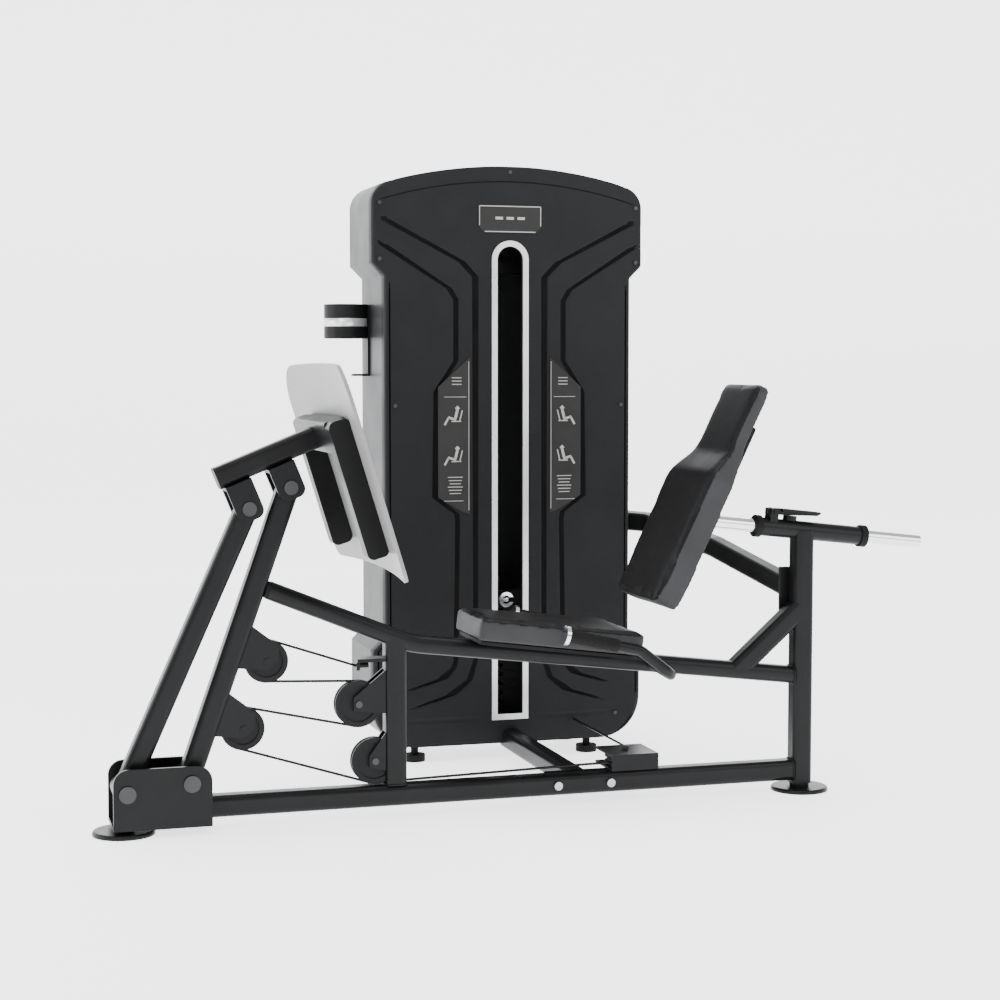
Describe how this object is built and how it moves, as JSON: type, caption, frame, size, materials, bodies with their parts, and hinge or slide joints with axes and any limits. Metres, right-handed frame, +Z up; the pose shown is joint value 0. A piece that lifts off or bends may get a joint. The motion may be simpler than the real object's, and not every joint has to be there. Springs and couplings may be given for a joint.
{
  "type": "leg press machine",
  "caption": "Seated leg press with a foot plate on a four-bar press arm, a sliding reclined backrest and a cable-driven weight stack in a covered tower.",
  "frame": {"origin": "centre of the left foot disc underside, on the floor", "axes": "+X along the machine from the press arm to the backrest, +Y back to the weight tower, +Z up"},
  "size_m": [2.0368, 1.195, 1.5628],
  "materials": {
    "frame_paint": "satin",
    "cover_plastic": "matte",
    "shell_plastic": "matte",
    "trim_silver": "satin",
    "chrome": "polished",
    "steel": "brushed",
    "rubber": "matte",
    "nylon": "satin",
    "placard": "matte",
    "plate_paint": "satin",
    "pad": "matte",
    "board": "matte",
    "iron": "matte",
    "cable": "satin"
  },
  "bodies": {
    "frame": {"base_tube": "frame_paint", "cross_tube": "frame_paint", "front_post": "frame_paint", "rear_post": "frame_paint", "seat_rail": "frame_paint", "rail_brace": "frame_paint", "tower_link_tube": "frame_paint", "pivot_bracket": "frame_paint", "foot_discs": "frame_paint", "frame_bolts": "steel", "pulley_brackets": "frame_paint", "tube_caps": "rubber", "tower_frame": "frame_paint", "guide_rods": "chrome", "tower_feet": "rubber", "weight_plates": "iron", "front_cover": "cover_plastic", "rear_cover": "shell_plastic", "slot_trim": "trim_silver", "placards": "placard", "bottle_holder": "nylon", "seat_pad": "pad", "seat_board": "board", "handle_bars": "frame_paint", "handle_grips": "rubber", "grip_caps": "chrome", "slide_sleeve": "frame_paint", "fixed_cable": "cable"},
    "front_link": {"front_link": "frame_paint"},
    "rear_link": {"rear_link": "frame_paint"},
    "foot_carriage": {"carriage_beam": "frame_paint", "beam_caps": "nylon", "plate_frame": "frame_paint", "foot_plate": "plate_paint", "upper_pins": "steel"},
    "backrest": {"back_pad": "pad", "back_board": "board", "backrest_tube": "chrome"},
    "lock_lever": {"lock_lever": "nylon"},
    "lock_pin": {"lock_pin": "steel"},
    "head_plate": {"head_plate": "iron", "selector_stem": "steel", "stack_cable": "cable"},
    "selector_pin": {"selector_pin": "chrome"},
    "arm_pulley_high": {"arm_pulley_high": "nylon"},
    "arm_pulley_low": {"arm_pulley_low": "nylon"},
    "post_pulley_high": {"post_pulley_high": "nylon"},
    "post_pulley_low": {"post_pulley_low": "nylon"},
    "base_pulley": {"base_pulley": "nylon"},
    "tower_pulley_low": {"tower_pulley_low": "nylon"},
    "tower_pulley_out": {"tower_pulley_out": "nylon"},
    "tower_pulley_in": {"tower_pulley_in": "nylon"},
    "run_1_root": {"cable_run_1_root": "cable"},
    "run_1_tip": {"cable_run_1_tip": "cable"},
    "run_2_root": {"cable_run_2_root": "cable"},
    "run_2_tip": {"cable_run_2_tip": "cable"},
    "run_3_root": {"cable_run_3_root": "cable"},
    "run_3_tip": {"cable_run_3_tip": "cable"},
    "run_4_root": {"cable_run_4_root": "cable"},
    "run_4_tip": {"cable_run_4_tip": "cable"}
  },
  "joints": [
    {"name": "press", "type": "hinge", "parent": "frame", "child": "front_link", "pos_m": [0.145, 0, 0.117], "axis": [0, -1, 0], "range_deg": [0, 35]},
    {"name": "rear_link_pivot", "type": "hinge", "parent": "frame", "child": "rear_link", "pos_m": [0.003, 0, 0.101], "axis": [0, -1, 0], "range_deg": [-0.5, 37.5]},
    {"name": "carriage_pivot", "type": "hinge", "parent": "front_link", "child": "foot_carriage", "pos_m": [0.376, 0, 0.77], "axis": [0, -1, 0], "range_deg": [-54, 0.5]},
    {"name": "backrest_slide", "type": "slide", "parent": "frame", "child": "backrest", "axis": [0.9938, 0, -0.1115], "range_m": [-0.13, 0.12]},
    {"name": "lock_lever_pivot", "type": "hinge", "parent": "frame", "child": "lock_lever", "pos_m": [1.568, 0, 0.689], "axis": [0, -1, 0], "range_deg": [0, 14], "stiffness_Nm_per_rad": 0.6, "springref_deg": -17.19},
    {"name": "lock_pin_lift", "type": "slide", "parent": "frame", "child": "lock_pin", "axis": [0.1115, 0, 0.9938], "range_m": [0, 0.0105]},
    {"name": "stack_lift", "type": "slide", "parent": "frame", "child": "head_plate", "axis": [0, 0, 1], "range_m": [0, 0.57142], "deforming": ["stack_cable"]},
    {"name": "selector_pin_pull", "type": "slide", "parent": "head_plate", "child": "selector_pin", "axis": [0, -1, 0], "range_m": [0, 0.085]},
    {"name": "arm_pulley_high_spin", "type": "hinge", "parent": "front_link", "child": "arm_pulley_high", "pos_m": [0.323, 0, 0.376], "axis": [0, -1, 0], "range_deg": [-265.23, 0]},
    {"name": "post_pulley_high_spin", "type": "hinge", "parent": "frame", "child": "post_pulley_high", "pos_m": [0.534, 0, 0.268], "axis": [0, -1, 0], "range_deg": [0, 424.91]},
    {"name": "arm_pulley_low_spin", "type": "hinge", "parent": "front_link", "child": "arm_pulley_low", "pos_m": [0.268, 0, 0.225], "axis": [0, -1, 0], "range_deg": [-608.62, 0]},
    {"name": "post_pulley_low_spin", "type": "hinge", "parent": "frame", "child": "post_pulley_low", "pos_m": [0.572, 0, 0.134], "axis": [0, -1, 0], "range_deg": [-624.13, 0]},
    {"name": "base_pulley_spin", "type": "hinge", "parent": "frame", "child": "base_pulley", "pos_m": [1.205, 0.04, 0.096], "axis": [0, 0, 1], "range_deg": [-675.82, 0]},
    {"name": "tower_pulley_low_spin", "type": "hinge", "parent": "frame", "child": "tower_pulley_low", "pos_m": [1.2533, 0.6667, 0.1343], "axis": [1, 0, 0], "range_deg": [-852.27, 0]},
    {"name": "tower_pulley_out_spin", "type": "hinge", "parent": "frame", "child": "tower_pulley_out", "pos_m": [1.215, 0.705, 1.38], "axis": [0, -1, 0], "range_deg": [-852.27, 0]},
    {"name": "tower_pulley_in_spin", "type": "hinge", "parent": "frame", "child": "tower_pulley_in", "pos_m": [1.1113, 0.705, 1.38], "axis": [0, -1, 0], "range_deg": [-852.27, 0]},
    {"name": "run_1_swing", "type": "hinge", "parent": "frame", "child": "run_1_root", "pos_m": [0.53, 0, 0.356], "axis": [0, -1, 0], "range_deg": [-0.2, 0.81], "deforming": ["cable_run_1_root"]},
    {"name": "run_1_stretch", "type": "slide", "parent": "run_1_root", "child": "run_1_tip", "axis": [-0.9474, 0, 0.32], "range_m": [-0.0005, 0.19058], "deforming": ["cable_run_1_tip"]},
    {"name": "run_2_swing", "type": "hinge", "parent": "frame", "child": "run_2_root", "pos_m": [0.534, 0, 0.268], "axis": [0, -1, 0], "range_deg": [-6.86, 0.2], "deforming": ["cable_run_2_root"]},
    {"name": "run_2_stretch", "type": "slide", "parent": "run_2_root", "child": "run_2_tip", "axis": [-0.9992, 0, 0.0394], "range_m": [-0.0005, 0.19845], "deforming": ["cable_run_2_tip"]},
    {"name": "run_3_swing", "type": "hinge", "parent": "frame", "child": "run_3_root", "pos_m": [0.534, 0, 0.268], "axis": [0, -1, 0], "range_deg": [-5.37, 0.2], "deforming": ["cable_run_3_root"]},
    {"name": "run_3_stretch", "type": "slide", "parent": "run_3_root", "child": "run_3_tip", "axis": [-0.9763, 0, 0.2166], "range_m": [-0.0005, 0.08588], "deforming": ["cable_run_3_tip"]},
    {"name": "run_4_swing", "type": "hinge", "parent": "frame", "child": "run_4_root", "pos_m": [0.572, 0, 0.134], "axis": [0, -1, 0], "range_deg": [-3.25, 0.2], "deforming": ["cable_run_4_root"]},
    {"name": "run_4_stretch", "type": "slide", "parent": "run_4_root", "child": "run_4_tip", "axis": [-0.9534, 0, 0.3018], "range_m": [-0.0005, 0.09651], "deforming": ["cable_run_4_tip"]}
  ],
  "couplings": [
    {"joint": "rear_link_pivot", "follows": "press", "ratio": 1.0504},
    {"joint": "carriage_pivot", "follows": "press", "ratio": -1.5039},
    {"joint": "lock_pin_lift", "follows": "lock_lever_pivot", "m_per_rad": 0.042},
    {"joint": "stack_lift", "follows": "press", "m_per_rad": 0.93077},
    {"joint": "arm_pulley_high_spin", "follows": "press", "ratio": -7.5629},
    {"joint": "post_pulley_high_spin", "follows": "press", "ratio": 12.116},
    {"joint": "arm_pulley_low_spin", "follows": "press", "ratio": -17.354},
    {"joint": "post_pulley_low_spin", "follows": "press", "ratio": -17.797},
    {"joint": "base_pulley_spin", "follows": "press", "ratio": -19.271},
    {"joint": "tower_pulley_low_spin", "follows": "press", "ratio": -24.302},
    {"joint": "tower_pulley_out_spin", "follows": "press", "ratio": -24.302},
    {"joint": "tower_pulley_in_spin", "follows": "press", "ratio": -24.302},
    {"joint": "run_1_swing", "follows": "press", "ratio": 0.022961},
    {"joint": "run_1_stretch", "follows": "press", "m_per_rad": 0.31042},
    {"joint": "run_2_swing", "follows": "press", "ratio": -0.19405},
    {"joint": "run_2_stretch", "follows": "press", "m_per_rad": 0.32324},
    {"joint": "run_3_swing", "follows": "press", "ratio": -0.15202},
    {"joint": "run_3_stretch", "follows": "press", "m_per_rad": 0.13989},
    {"joint": "run_4_swing", "follows": "press", "ratio": -0.092014},
    {"joint": "run_4_stretch", "follows": "press", "m_per_rad": 0.15721}
  ]
}
